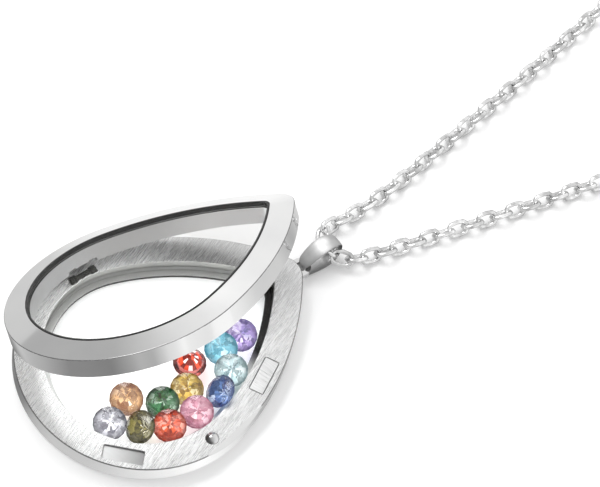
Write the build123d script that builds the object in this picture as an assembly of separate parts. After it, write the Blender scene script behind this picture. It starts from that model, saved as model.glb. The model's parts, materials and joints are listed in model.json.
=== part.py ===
"""A teardrop floating locket, lying open on a surface, with twelve loose stones and its neck chain.

The origin is the centre of the case's round end on its underside, +Y points along the case to the
bail and +Z up. The hinge is on the -X side, and the lid stands open as it lies.
"""
from build123d import *
import math
import os

os.makedirs("parts", exist_ok=True)

# Driving dimensions, in millimetres and degrees

# Case outline: a round end, two long side arcs and a small round tip
body_radius = 15.0
tip_distance = 20.2
tip_radius = 2.6
side_radius = 34.5
inner_corner = 1.1

# Lower ring
base_height = 2.5
flange_width = 3.35
lip_width = 0.85
lip_height = 0.4
base_glass_thickness = 0.8
bottom_edge_round = 0.25
top_edge_chamfer = 0.12

# Lid
lid_wall_height = 2.25
bevel_rise = 0.8
bevel_width = 2.8
lid_ring_width = 3.1
lid_glass_thickness = 0.85
lid_edge_round = 0.1
window_edge_round = 0.08
lid_opening = 35.7
joint_gap = 0.1
glass_clearance = 0.05

# Hinge
hinge_inset = 0.7
pin_radius = 0.3
knuckle_wall = 0.4
outer_knuckle_length = 1.3
middle_knuckle_length = 2.0
knuckle_gap = 0.1
pin_clearance = 0.05
fixed_pin_clearance = 0.01
relief_angle = 45.0
bar_inset = 2.8
bar_length = 3.7
bar_end_radius = 0.5
bar_end_length = 0.9
bar_middle_radius = 0.34
bar_stand = 0.05
bar_clearance = 0.02
bar_relief = 0.15

# Flange fittings
magnet_length = 4.8
magnet_width = 1.85
magnet_depth = 1.2
magnet_corner = 0.25
magnet_clearance = 0.03
lower_magnet_bearing = -44.2
lower_magnet_sink = 0.35
upper_magnet_bearing = 46.6
ball_radius = 0.88
ball_stand = 0.5
ball_bearing = 2.5
ball_clearance = 0.02
dimple_clearance = 0.12
notch_bearing = 12.0
notch_reach = 0.72
notch_angle = 40.0

# Eye and bail
eye_hole_radius = 0.65
eye_wall = 0.55
eye_thickness = 0.7
eye_overlap = 0.15
bail_small_clearance = 0.12
bail_band = 0.4
bail_length = 6.1
bail_end_radius = 1.8
bail_lift = 0.05
bail_small_width = 0.8
bail_large_width = 2.7
bail_corner_radius = 0.95
bail_corner_overrun = 0.15
bail_turn = 4.0

# Stones
stone_diameter = 4.0
mains = 8
girdle_share = 0.03
table_share = 0.56
crown_angle = 34.5
star_angle = 22.0
upper_half_angle = 40.5
pavilion_angle = 41.0
lower_half_angle = 42.3
floor_gap = 0.03

# Chain and clasp
chain_diameter = 1.8
chain_floor_gap = 0.02
bend_share = 0.45
clasp_length = 9.0
clasp_width = 4.2
clasp_thickness = 1.6
clasp_band = 1.2
clasp_gap = 0.2

# Where the stones lie: the distance in from the well's wall and the place along the line that runs at
# that distance, from the ball's side, both in stone diameters, the lean of the stone's axis from
# upright, and the compass direction that its table leans to
stones = [
    # name, along, inward, lean, facing
    ("stone_clear", -2.48, 0.41, 41.0, -50.0),
    ("stone_champagne", -1.43, 1.33, 41.0, -50.0),
    ("stone_olive", -1.52, 0.51, 41.0, -104.0),
    ("stone_orange", -0.69, 0.46, 41.0, -50.0),
    ("stone_green", -0.43, 1.22, 41.0, -50.0),
    ("stone_pink", 0.25, 0.49, 41.0, -50.0),
    ("stone_yellow", 0.43, 1.2, 41.0, -50.0),
    ("stone_blue", 1.25, 0.41, 41.0, -118.0),
    ("stone_red", 1.12, 1.68, 180.0, 0.0),
    ("stone_mint", 1.99, 0.5, 41.0, -50.0),
    ("stone_aqua", 2.21, 1.07, 41.0, -50.0),
    ("stone_purple", 3.08, 0.7, 41.0, -50.0),
]

# Route of the chain's middle line, from the clasp down the right strand, round through the bail and
# up the left strand to the clasp; the third column is the height above the strand's own on the floor
chain_route = [
    # x, y, rise
    (clasp_length / 2 + clasp_gap, 228.3, 0.0),
    (19.5, 225.3, 0.0),
    (31.5, 214.5, 0.0),
    (38.6, 197.0, 0.0),
    (39.6, 175.0, 0.0),
    (35.2, 150.5, 0.0),
    (28.2, 127.0, 0.0),
    (20.6, 104.5, 0.0),
    (14.6, 83.5, 0.0),
    (10.05, 64.5, 0.0),
    (7.08, 50.0, 0.0),
    (5.04, 40.5, 0.0),
    (3.58, 33.9, 0.0),
    (2.8, 30.6, 0.25),
    (2.2, 28.6, 0.7),
    (1.1, 27.55, 0.93),
    (-1.5, 27.55, 0.93),
    (-2.7, 28.7, 0.7),
    (-2.85, 30.8, 0.25),
    (-2.72, 34.4, 0.0),
    (-3.45, 41.0, 0.0),
    (-5.4, 52.0, 0.0),
    (-7.9, 66.5, 0.0),
    (-12.0, 86.0, 0.0),
    (-17.6, 106.0, 0.0),
    (-24.6, 127.5, 0.0),
    (-32.0, 150.5, 0.0),
    (-37.6, 173.5, 0.0),
    (-38.4, 196.0, 0.0),
    (-31.8, 214.0, 0.0),
    (-19.5, 225.0, 0.0),
    (-clasp_length / 2 - clasp_gap, 228.3, 0.0),
]

# Sizes that follow from the driving dimensions
knuckle_radius = pin_radius + knuckle_wall
hinge_x = -(body_radius - hinge_inset)
hinge_z = base_height + joint_gap / 2
lid_bottom = base_height + joint_gap
lid_top = lid_bottom + lid_wall_height + bevel_rise
hinge_length = 2 * outer_knuckle_length + middle_knuckle_length + 2 * knuckle_gap
lip_inset = flange_width + lip_width
floor_height = lip_height + glass_clearance + base_glass_thickness
tip_end = tip_distance + tip_radius
round_reach = side_radius - body_radius
tip_reach = side_radius - tip_radius
side_y = (tip_distance**2 + round_reach**2 - tip_reach**2) / (2 * tip_distance)
side_x = math.sqrt(round_reach**2 - side_y**2)
side_start = math.atan2(-side_y, side_x)
strand_height = chain_diameter / 2 + chain_floor_gap


def teardrop(inset):
    """Face of the case's outline, moved in by inset, on the plane z = 0."""
    round_radius = body_radius - inset
    arc_radius = side_radius - inset
    corner = max(tip_radius - inset, inner_corner)
    corner_y = side_y + math.sqrt((arc_radius - corner)**2 - side_x**2)
    tip_angle = math.atan2(corner_y - side_y, side_x)
    middle_angle = (side_start + tip_angle) / 2

    def side_point(angle, hand):
        return (hand * (arc_radius * math.cos(angle) - side_x), side_y + arc_radius * math.sin(angle))

    edges = [
        ThreePointArc(side_point(side_start, -1), (0, -round_radius), side_point(side_start, 1)),
        ThreePointArc(side_point(side_start, 1), side_point(middle_angle, 1), side_point(tip_angle, 1)),
        ThreePointArc(side_point(tip_angle, 1), (0, corner_y + corner), side_point(tip_angle, -1)),
        ThreePointArc(side_point(tip_angle, -1), side_point(middle_angle, -1), side_point(side_start, -1)),
    ]
    return Face(Wire(edges))


def plate(inset, bottom, top):
    """Solid between two heights inside the outline moved in by inset."""
    return Pos(0, 0, bottom) * extrude(teardrop(inset), top - bottom)


def is_level(edge, height):
    """Whether the whole edge lies at the height."""
    box = edge.bounding_box()
    return abs(box.min.Z - height) + abs(box.max.Z - height) < 1e-3


def rim_place(bearing, inset):
    """Point on the outline moved in by inset, in the compass direction bearing, and the edge's direction."""
    angle = math.radians(bearing)
    round_radius = body_radius - inset
    if bearing < math.degrees(side_start):
        return round_radius * math.cos(angle), round_radius * math.sin(angle), bearing + 90
    along = math.sin(angle) * side_y - math.cos(angle) * side_x
    reach = along + math.sqrt(along**2 + (side_radius - inset)**2 - side_x**2 - side_y**2)
    x = reach * math.cos(angle)
    y = reach * math.sin(angle)
    return x, y, math.degrees(math.atan2(y - side_y, x + side_x)) + 90


def well_place(along, inward):
    """Point at a distance along the line that runs inward of the well's wall, from the +X side."""
    line_radius = body_radius - flange_width - inward
    side_line_radius = side_radius - flange_width - inward
    round_length = line_radius * side_start
    if along < round_length:
        angle = along / line_radius
        return line_radius * math.cos(angle), line_radius * math.sin(angle)
    angle = side_start + (along - round_length) / side_line_radius
    return side_line_radius * math.cos(angle) - side_x, side_line_radius * math.sin(angle) + side_y


def along_hinge(radius, start, end):
    """Cylinder on the hinge axis between two places along it, from the hinge's middle."""
    shaft = Cylinder(radius, end - start, align=(Align.CENTER, Align.CENTER, Align.MIN))
    return Pos(hinge_x, start, hinge_z) * Rot(X=-90) * shaft


def knuckle_spans():
    """Start and end of each outer knuckle, and of the middle one."""
    half_middle = middle_knuckle_length / 2
    half_hinge = hinge_length / 2
    lower = (-half_hinge, -half_hinge + outer_knuckle_length)
    upper = (half_hinge - outer_knuckle_length, half_hinge)
    return lower, (-half_middle, half_middle), upper


def hinge_relief(hand):
    """Wedge outside the hinge axis, above it or below it, that one ring gives up so that the lid opens."""
    reach = 2 * hinge_inset
    drop = reach * math.tan(math.radians(relief_angle))
    corners = [(0, 0), (-reach, 0), (-reach, hand * drop)]
    points = [(hinge_x + x, -body_radius, hinge_z + z) for x, z in corners]
    return extrude(Face(Wire.make_polygon(points)), amount=2 * body_radius, dir=(0, 1, 0))


def hinge_bar(extra):
    """The barrel with two thicker ends that lies along the flange, grown by extra."""
    middle = Cylinder(bar_middle_radius + extra, bar_length)
    end = Cylinder(bar_end_radius + extra, bar_end_length + extra)
    shift = (bar_length - bar_end_length + extra) / 2
    shape = middle + Pos(0, 0, shift) * end + Pos(0, 0, -shift) * end
    return Pos(bar_inset - body_radius, 0, base_height + bar_stand) * Rot(X=90) * shape


def magnet(bearing, sink, extra):
    """Bar magnet in the middle of the flange, its top sunk below the flange, grown by extra."""
    x, y, direction = rim_place(bearing, flange_width / 2)
    size = (magnet_length + 2 * extra, magnet_width + 2 * extra, magnet_depth + extra)
    bar = Box(*size, align=(Align.CENTER, Align.CENTER, Align.MAX))
    bar = fillet(bar.edges().filter_by(Axis.Z), magnet_corner + extra)
    return Pos(x, y, base_height - sink) * Rot(Z=direction) * bar


def magnet_pocket(bearing, sink):
    """Pocket of a magnet, open at the flange."""
    top = magnet(bearing, 0.0, magnet_clearance)
    return top + magnet(bearing, sink, magnet_clearance)


def ball_place():
    """Centre of the catch ball."""
    x, y, _ = rim_place(ball_bearing, flange_width / 2)
    return Pos(x, y, base_height + ball_stand - ball_radius)


def nail_notch():
    """Block whose slanted underside takes the nail notch off the flange's outer edge."""
    turn = Rot(Z=notch_bearing)
    size = 2 * body_radius
    block = Box(size, size, size, align=(Align.MIN, Align.CENTER, Align.MIN))
    return turn * Pos(body_radius - notch_reach, 0, base_height) * Rot(Y=notch_angle) * block


def make_base_frame():
    """Lower ring with its glass seat, hinge knuckles, magnet pockets, ball seat, notch and eye."""
    ring = plate(0, 0, base_height)
    ring = fillet(ring.faces().sort_by(Axis.Z)[0].edges(), bottom_edge_round)
    ring = chamfer(ring.faces().sort_by(Axis.Z)[-1].edges(), top_edge_chamfer)
    ring -= plate(flange_width, lip_height, base_height + 1)
    ring -= plate(lip_inset, -1, base_height)
    eye_radius = eye_hole_radius + eye_wall
    eye_y = tip_end + eye_hole_radius - eye_overlap
    eye = Cylinder(eye_radius, eye_thickness)
    web = Box(2 * eye_radius, eye_radius, eye_thickness, align=(Align.CENTER, Align.MAX, Align.CENTER))
    hole = Cylinder(eye_hole_radius, eye_thickness + base_height)
    ring += Pos(0, eye_y, base_height / 2) * (eye + web)
    ring -= Pos(0, eye_y, base_height / 2) * hole
    ring -= hinge_relief(-1)
    lower, middle, upper = knuckle_spans()
    ring -= along_hinge(knuckle_radius + knuckle_gap, middle[0] - knuckle_gap, middle[1] + knuckle_gap)
    ring += along_hinge(knuckle_radius, *lower) + along_hinge(knuckle_radius, *upper)
    ring -= along_hinge(pin_radius + fixed_pin_clearance, lower[0] - 1, upper[1] + 1)
    ring -= hinge_bar(bar_clearance)
    ring -= magnet_pocket(lower_magnet_bearing, lower_magnet_sink)
    ring -= magnet_pocket(upper_magnet_bearing, 0.0)
    ring -= ball_place() * Sphere(ball_radius + ball_clearance)
    ring -= nail_notch()
    return ring


def make_lid_frame():
    """Lid ring as it lies closed, with its bevel, glass seat, middle knuckle and reliefs."""
    ring = plate(0, lid_bottom, lid_bottom + lid_wall_height)
    bevel = loft([teardrop(0), Pos(0, 0, bevel_rise) * teardrop(bevel_width)], ruled=True)
    ring += Pos(0, 0, lid_bottom + lid_wall_height) * bevel
    wall_edges = ring.edges().filter_by(lambda edge: is_level(edge, lid_bottom + lid_wall_height))
    ring = fillet(wall_edges, lid_edge_round)
    glass_seat = lid_top - lid_glass_thickness - glass_clearance
    ring -= plate(bevel_width, glass_seat, lid_top + 1)
    window_edges = ring.edges().filter_by(lambda edge: is_level(edge, lid_top))
    ring = fillet(window_edges, window_edge_round)
    ring -= plate(lid_ring_width, lid_bottom - 1, lid_top)
    ring -= hinge_relief(1)
    lower, middle, upper = knuckle_spans()
    clear = knuckle_radius + knuckle_gap
    ring -= along_hinge(clear, lower[0] - knuckle_gap, lower[1] + knuckle_gap)
    ring -= along_hinge(clear, upper[0] - knuckle_gap, upper[1] + knuckle_gap)
    ring += along_hinge(knuckle_radius, *middle)
    ring -= along_hinge(pin_radius + pin_clearance, lower[0] - 1, upper[1] + 1)
    ring -= hinge_bar(bar_relief)
    ring -= ball_place() * Sphere(ball_radius + dimple_clearance)
    return ring


def open_lid(shape):
    """The shape turned about the hinge from closed to how the lid stands."""
    return shape.rotate(Axis((hinge_x, 0, hinge_z), (0, -1, 0)), lid_opening)


def loop_hull(places, radii):
    """Flat outline round two or more circles of the given radii."""
    circles = [Pos(*place) * Circle(radius) for place, radius in zip(places, radii)]
    return make_hull([edge for circle in circles for edge in circle.edges()])


def make_bail():
    """Tapered loop of flat band, from the tip's eye to the round end that the chain passes."""
    bar_y = tip_end + 1.5 * eye_wall + eye_hole_radius - eye_overlap
    small_radius = math.hypot(eye_wall, eye_thickness) / 2 + bail_small_clearance
    large_radius = bail_end_radius - bail_band
    start_y = bar_y - small_radius - bail_band
    end_y = start_y + bail_length
    places = [(bar_y, base_height / 2), (end_y - bail_end_radius, bail_end_radius + bail_lift)]
    outer = loop_hull(places, (small_radius + bail_band, bail_end_radius))
    inner = loop_hull(places, (small_radius, large_radius))
    reach = bail_large_width
    band = extrude(Plane.YZ * (outer - inner), amount=reach, both=True)
    small_half = bail_small_width / 2
    corner_x = bail_large_width / 2 - bail_corner_radius
    corner_y = end_y + bail_corner_overrun - bail_corner_radius
    plan_places = [(0, start_y - small_half), (corner_x, corner_y), (-corner_x, corner_y)]
    plan = loop_hull(plan_places, (small_half, bail_corner_radius, bail_corner_radius))
    bail = band & extrude(plan, amount=2 * base_height + bail_end_radius, both=True)
    return bail.rotate(Axis((0, bar_y, 0), (0, 0, 1)), bail_turn)


def brilliant():
    """Round brilliant, its girdle's middle at the origin and its table up."""
    radius = stone_diameter / 2
    half_girdle = stone_diameter * girdle_share / 2
    table_radius = radius * table_share
    crown_height = (radius - table_radius) * math.tan(math.radians(crown_angle))
    main_step = 360 / mains
    half_edge = math.cos(math.radians(main_step / 4))
    table_edge = table_radius * math.cos(math.radians(main_step / 2))
    table_z = half_girdle + crown_height
    facets = [
        # count, first bearing, slope, reach and height of a point on the facet, side
        (mains, 0.0, crown_angle, radius, half_girdle, 1),
        (mains, main_step / 2, star_angle, table_edge, table_z, 1),
        (2 * mains, main_step / 4, upper_half_angle, radius * half_edge, half_girdle, 1),
        (mains, 0.0, pavilion_angle, radius, half_girdle, -1),
        (2 * mains, main_step / 4, lower_half_angle, radius * half_edge, half_girdle, -1),
    ]
    outline = RegularPolygon(radius, 2 * mains, rotation=0)
    stone = Pos(0, 0, -stone_diameter) * extrude(outline, stone_diameter + table_z)
    for count, first, slope, reach, height, side in facets:
        for index in range(count):
            bearing = math.radians(first + index * 360 / count)
            tilt = math.radians(slope)
            normal = Vector(math.cos(bearing) * math.sin(tilt), math.sin(bearing) * math.sin(tilt),
                            side * math.cos(tilt))
            point = Vector(math.cos(bearing) * reach, math.sin(bearing) * reach, side * height)
            stone = stone.split(Plane(origin=point, z_dir=normal), keep=Keep.BOTTOM)
    return stone


def lay_stone(stone, along, inward, lean, facing):
    """The stone leaned over, put at its place by the wall and set down on the glass."""
    x, y = well_place(along * stone_diameter, inward * stone_diameter)
    leaned = Rot(Z=facing) * Rot(Y=lean) * stone
    height = floor_height + floor_gap - leaned.bounding_box().min.Z
    return Pos(x, y, height) * leaned


def chain_radii(points):
    """Radius of each arc of the chain's route: as large as the shorter of its two runs allows."""
    radii = []
    for before, corner, after in zip(points, points[1:], points[2:]):
        first = Vector(*corner) - Vector(*before)
        second = Vector(*after) - Vector(*corner)
        half_turn = math.radians(first.get_angle(second)) / 2
        radii.append(bend_share * min(first.length, second.length) / math.tan(half_turn))
    return radii


def make_chain():
    """The chain as a tube of the links' outer width, along the route from clasp to clasp."""
    points = [(x, y, strand_height + rise) for x, y, rise in chain_route]
    radii = chain_radii(points)
    print("chain radii", [round(radius, 1) for radius in radii])
    path = FilletPolyline(*points, radius=radii)
    section = Plane(origin=path @ 0, z_dir=path % 0) * Circle(chain_diameter / 2)
    tube = sweep(section, path=path)
    volume_share = tube.volume / (section.area * path.length)
    print("chain length", round(path.length, 1), "volume share", round(volume_share, 4))
    return tube, path


def make_clasp(left, right):
    """Plain long ring between the chain's two ends."""
    middle = (left + right) / 2
    outer = SlotOverall(clasp_length, clasp_width)
    inner = SlotOverall(clasp_length - 2 * clasp_band, clasp_width - 2 * clasp_band)
    ring = extrude(outer - inner, amount=clasp_thickness)
    return Pos(middle.X, middle.Y, chain_floor_gap) * ring


def main():
    """Build every piece and write it."""
    chain, path = make_chain()
    pieces = {
        "base_frame": make_base_frame(),
        "base_glass": plate(flange_width + glass_clearance, lip_height + glass_clearance, floor_height),
        "hinge_bar": hinge_bar(0.0),
        "hinge_pin": along_hinge(pin_radius, -hinge_length / 2, hinge_length / 2),
        "magnet_lower": magnet(lower_magnet_bearing, lower_magnet_sink, 0.0),
        "magnet_upper": magnet(upper_magnet_bearing, 0.0, 0.0),
        "catch_ball": ball_place() * Sphere(ball_radius),
        "lid_frame": open_lid(make_lid_frame()),
        "bail": make_bail(),
        "chain": chain,
        "clasp": make_clasp(path @ 0, path @ 1),
    }
    lid_glass = plate(bevel_width + glass_clearance, lid_top - lid_glass_thickness, lid_top)
    pieces["lid_glass"] = open_lid(lid_glass)
    stone = brilliant()
    for name, *place in stones:
        pieces[name] = lay_stone(stone, *place)
    for name, piece in pieces.items():
        export_step(piece, f"parts/{name}.step")


main()
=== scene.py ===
"""Looks of a teardrop floating locket that lies open on a pale table, with its loose stones and neck chain.

Lengths in the dataclasses are millimetres in the part's own frame: +Y runs along the case to the bail,
+Z is up, and the hinge is on the -X side. A reach around a place is written from far to close.
"""
import json
import logging
import math
from dataclasses import Field, dataclass, field
from enum import Enum
from typing import Callable, Iterable, Sequence

import bpy
from mathutils import Matrix, Vector

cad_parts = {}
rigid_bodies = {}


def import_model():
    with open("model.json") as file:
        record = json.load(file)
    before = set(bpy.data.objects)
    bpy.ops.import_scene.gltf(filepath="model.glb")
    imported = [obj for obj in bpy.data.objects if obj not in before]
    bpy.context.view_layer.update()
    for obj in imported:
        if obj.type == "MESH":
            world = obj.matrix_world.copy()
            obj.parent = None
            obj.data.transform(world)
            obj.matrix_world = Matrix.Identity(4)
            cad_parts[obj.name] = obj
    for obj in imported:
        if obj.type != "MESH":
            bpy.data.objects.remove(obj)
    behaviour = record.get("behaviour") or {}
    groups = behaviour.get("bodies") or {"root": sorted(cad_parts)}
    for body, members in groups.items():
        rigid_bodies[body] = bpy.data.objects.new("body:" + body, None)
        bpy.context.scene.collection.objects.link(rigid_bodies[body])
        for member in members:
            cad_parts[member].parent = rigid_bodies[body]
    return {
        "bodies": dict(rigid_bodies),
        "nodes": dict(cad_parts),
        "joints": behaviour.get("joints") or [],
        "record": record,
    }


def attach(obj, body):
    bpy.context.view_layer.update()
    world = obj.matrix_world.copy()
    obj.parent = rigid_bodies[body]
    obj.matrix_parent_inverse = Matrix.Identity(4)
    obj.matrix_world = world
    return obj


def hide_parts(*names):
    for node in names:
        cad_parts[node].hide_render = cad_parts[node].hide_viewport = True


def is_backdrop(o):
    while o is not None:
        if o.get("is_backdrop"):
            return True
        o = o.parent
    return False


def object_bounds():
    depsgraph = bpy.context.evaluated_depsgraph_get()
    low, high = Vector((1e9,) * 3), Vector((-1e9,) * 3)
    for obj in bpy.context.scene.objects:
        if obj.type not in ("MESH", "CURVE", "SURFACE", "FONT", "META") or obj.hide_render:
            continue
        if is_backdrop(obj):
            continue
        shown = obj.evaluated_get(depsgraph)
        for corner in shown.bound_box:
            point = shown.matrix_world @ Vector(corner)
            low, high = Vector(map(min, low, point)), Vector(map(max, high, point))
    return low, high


MM = 0.001
Colour = tuple[float, float, float]
Place = tuple[float, float, float]
Span = tuple[float, float]
Steps = tuple[tuple[float, float], ...]
Socket = bpy.types.NodeSocket
FaceTest = Callable[[Vector, Vector], bool]
WHITE: Colour = (1.0, 1.0, 1.0)
BLACK: Colour = (0.0, 0.0, 0.0)
ORIGIN: Place = (0.0, 0.0, 0.0)
# Centre of the side arc of the case's and the windows' outline, and the bail's turn to the case.
SIDE_CENTRE: Span = (-18.656, -5.676)
BAIL_TURN = -2.0
# The part of a noise's values that a cloud or a line runs over.
CLOUD_SPAN: Span = (0.3, 0.7)
LINE_SPAN: Span = (0.34, 0.62)
# A mix node's sockets for its share and two colours, which have the names of its other sockets.
MIX_INPUTS = (0, 6, 7)
MIX_OUTPUT = 2
log = logging.getLogger("floating_locket")


class Body(Enum):
    """The two bodies of the locket that move against each other."""

    CASE = "case"
    LID = "lid"


class Slot(Enum):
    """The record's material slots."""

    POLISHED = "polished_steel"
    DARK = "dark_steel"


def metres(x: float, y: float, z: float) -> Vector:
    """Point in metres from millimetres."""
    return Vector((x, y, z)) * MM


def grey(level: float) -> Colour:
    """Colour with no hue, of one level."""
    return (level, level, level)


def direction(azimuth: float, elevation: float) -> Vector:
    """Unit vector that points away from the locket.

    Args:
        azimuth: Degrees from -Y towards +X.
        elevation: Degrees above the table.

    Returns:
        The vector.
    """
    turn = math.radians(azimuth)
    rise = math.radians(elevation)
    return Vector((math.sin(turn) * math.cos(rise), -math.cos(turn) * math.cos(rise), math.sin(rise)))


class Recipe:
    """Adds and links the nodes of one material or world."""

    def __init__(self, tree: bpy.types.NodeTree) -> None:
        """Start from an empty tree."""
        tree.nodes.clear()
        self.tree = tree

    def fill(self, socket: Socket, value: object) -> None:
        """Link an output to an input, or give the input a fixed value.

        Args:
            socket: The input.
            value: An output, a number, a vector or a colour.
        """
        if isinstance(value, Socket):
            self.tree.links.new(value, socket)
        elif socket.type == "RGBA":
            socket.default_value = (*value, 1.0)
        else:
            socket.default_value = value

    def add(self, kind: str, *values: object, **settings: object) -> bpy.types.Node:
        """Add a node and fill its inputs.

        Args:
            kind: The node's type, without the word ShaderNode in front.
            values: What the first inputs take, in their order.
            settings: Properties of the node, and inputs by name with spaces as underscores.

        Returns:
            The new node.
        """
        node = self.tree.nodes.new("ShaderNode" + kind)
        for name, value in settings.items():
            if hasattr(node, name):
                setattr(node, name, value)
            else:
                self.fill(node.inputs[name.replace("_", " ")], value)
        for socket, value in zip(node.inputs, values):
            self.fill(socket, value)
        return node

    def shader(self, kind: str, *values: object, **settings: object) -> Socket:
        """Output of a shader node, filled as add fills it."""
        return self.add(kind, *values, **settings).outputs[0]

    def compute(self, operation: str, *values: object, **settings: object) -> Socket:
        """Result of one step of arithmetic."""
        return self.add("Math", *values, operation=operation, **settings).outputs["Value"]

    def ray(self, kind: str) -> Socket:
        """Whether a ray is of one kind."""
        return self.add("LightPath").outputs[kind]

    def place(self) -> Socket:
        """Place on the object, in metres."""
        return self.add("TexCoord").outputs["Object"]

    def axis(self, source: Socket, name: str) -> Socket:
        """One axis of a place."""
        return self.add("SeparateXYZ", source).outputs[name]

    def turned(self, middle: Place, angles: Place, unit: Sequence[float] = (1.0, 1.0, 1.0)) -> Socket:
        """Place on the object, counted from a middle along turned axes.

        Args:
            middle: The middle in millimetres.
            angles: Turns of the axes in degrees, about X, Y and Z.
            unit: What counts as one along each axis, in metres.

        Returns:
            The place.
        """
        turns = [math.radians(angle) for angle in angles]
        mapping = self.add("Mapping", self.place(), metres(*middle), turns, unit, vector_type="TEXTURE")
        return mapping.outputs["Vector"]

    def level(self, source: Socket, start: float, end: float, low: float = 0.0, high: float = 1.0,
              easing: str = "LINEAR") -> Socket:
        """Value that runs from low to high while another runs from start to end.

        Args:
            source: The other value.
            start: Where it gives low, and before that too.
            end: Where it gives high, and after that too.
            low: Value at the start.
            high: Value at the end.
            easing: How the value runs between them.

        Returns:
            The value.
        """
        span = self.add("MapRange", source, start, end, low, high, clamp=True, interpolation_type=easing)
        return span.outputs["Result"]

    def near(self, middle: Place, far: float, close: float) -> Socket:
        """Value that grows from 0 to 1 towards a place.

        Args:
            middle: The place in millimetres.
            far: Distance from it at which the value is 0, in millimetres.
            close: Distance at which it is 1.

        Returns:
            The value.
        """
        distance = self.add("VectorMath", self.place(), metres(*middle), operation="DISTANCE")
        return self.level(distance.outputs["Value"], close * MM, far * MM, 1.0, 0.0, "SMOOTHSTEP")

    def along(self, axis: str, start: float, end: float) -> Socket:
        """Value that grows from 0 to 1 between two places on one object axis, in millimetres."""
        return self.level(self.axis(self.place(), axis), start * MM, end * MM)

    def streaks(self, along: float, across: float, bearing: float, detail: float = 3.0) -> Socket:
        """Noise drawn out along one direction on the XY plane.

        Args:
            along: Length of a streak in millimetres.
            across: Width of a streak in millimetres.
            bearing: Direction of the streaks in degrees from +X.
            detail: Finer layers of the noise.

        Returns:
            The noise.
        """
        place = self.turned(ORIGIN, (0.0, 0.0, bearing), metres(along, across, across))
        return self.add("TexNoise", place, Scale=1.0, Detail=detail, Roughness=0.6).outputs["Fac"]

    def grain(self, size: float, detail: float = 2.0) -> Socket:
        """Noise with spots of one size in millimetres."""
        noise = self.add("TexNoise", self.place(), Scale=1.0 / (size * MM), Detail=detail, Roughness=0.55)
        return noise.outputs["Fac"]

    def spread(self, noise: Socket, low: float, high: float) -> Socket:
        """Value that runs from low to high with a noise."""
        return self.level(noise, *CLOUD_SPAN, low, high)

    def colours(self, steps: Iterable[tuple[float, Colour]], source: Socket) -> Socket:
        """Colour that follows a list.

        Args:
            steps: Places from 0 to 1, each with its colour.
            source: Value from 0 to 1 that says where on the list to be.

        Returns:
            The colour.
        """
        node = self.add("ValToRGB", source)
        elements = node.color_ramp.elements
        elements.remove(elements[1])
        for index, (position, colour) in enumerate(steps):
            element = elements[0] if index == 0 else elements.new(position)
            element.position = position
            element.color = (*colour, 1.0)
        return node.outputs["Color"]

    def shade(self, noise: Socket, dark: Colour, light: Colour, span: Span = CLOUD_SPAN) -> Socket:
        """Colour that runs from dark to light with a noise."""
        return self.colours(zip(span, (dark, light)), noise)

    def greys(self, steps: Iterable[tuple[float, float]], source: Socket) -> Socket:
        """Grey that follows a list whose places run from -1 to 1, for a value from 0 to 1."""
        return self.colours([((place + 1.0) / 2, grey(level)) for place, level in steps], source)

    def mix(self, share: object, first: object, second: object, blend: str = "MIX") -> Socket:
        """Colour between two others.

        Args:
            share: How much of the second colour there is.
            first: The first colour.
            second: The second colour.
            blend: How the second is laid over the first.

        Returns:
            The mixed colour.
        """
        node = self.add("Mix", data_type="RGBA", blend_type=blend)
        for index, value in zip(MIX_INPUTS, (share, first, second)):
            self.fill(node.inputs[index], value)
        return node.outputs[MIX_OUTPUT]

    def multiply(self, first: object, second: object) -> Socket:
        """Product of two colours."""
        return self.mix(1.0, first, second, "MULTIPLY")

    def relief(self, noise: Socket, depth: float, strength: float) -> Socket:
        """Bump from a noise, its depth in millimetres."""
        return self.add("Bump", Strength=strength, Distance=depth * MM, Height=noise).outputs["Normal"]


@dataclass(frozen=True)
class Finish:
    """Surface that a piece can have."""

    name: str

    def surface(self, recipe: Recipe) -> Socket:
        """Mix the shader that covers the piece.

        Args:
            recipe: The material's recipe.

        Returns:
            The shader.
        """
        raise NotImplementedError

    def make(self) -> bpy.types.Material:
        """Build the material.

        Returns:
            The material.
        """
        material = bpy.data.materials.new(self.name)
        material.use_nodes = True
        recipe = Recipe(material.node_tree)
        recipe.add("OutputMaterial", self.surface(recipe))
        return material


@dataclass(frozen=True)
class PolishedSteel(Finish):
    """Mirror-bright steel with faint wiping marks."""

    dark: Colour = grey(0.70)
    light: Colour = (0.75, 0.75, 0.745)
    smoothest: float = 0.06
    roughest: float = 0.11
    mark_length: float = 2.4
    mark_width: float = 0.12
    mark_bearing: float = 62.0
    mark_depth: float = 0.0006
    relief: float = 0.15
    grain_size: float = 6.0

    def surface(self, recipe: Recipe) -> Socket:
        """Mix the shader that covers the piece.

        Args:
            recipe: The material's recipe.

        Returns:
            The shader.
        """
        marks = recipe.streaks(self.mark_length, self.mark_width, self.mark_bearing)
        return recipe.shader(
            "BsdfPrincipled", Metallic=1.0,
            Base_Color=recipe.shade(recipe.grain(self.grain_size), self.dark, self.light),
            Roughness=recipe.spread(marks, self.smoothest, self.roughest),
            Normal=recipe.relief(marks, self.mark_depth, self.relief))


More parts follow.
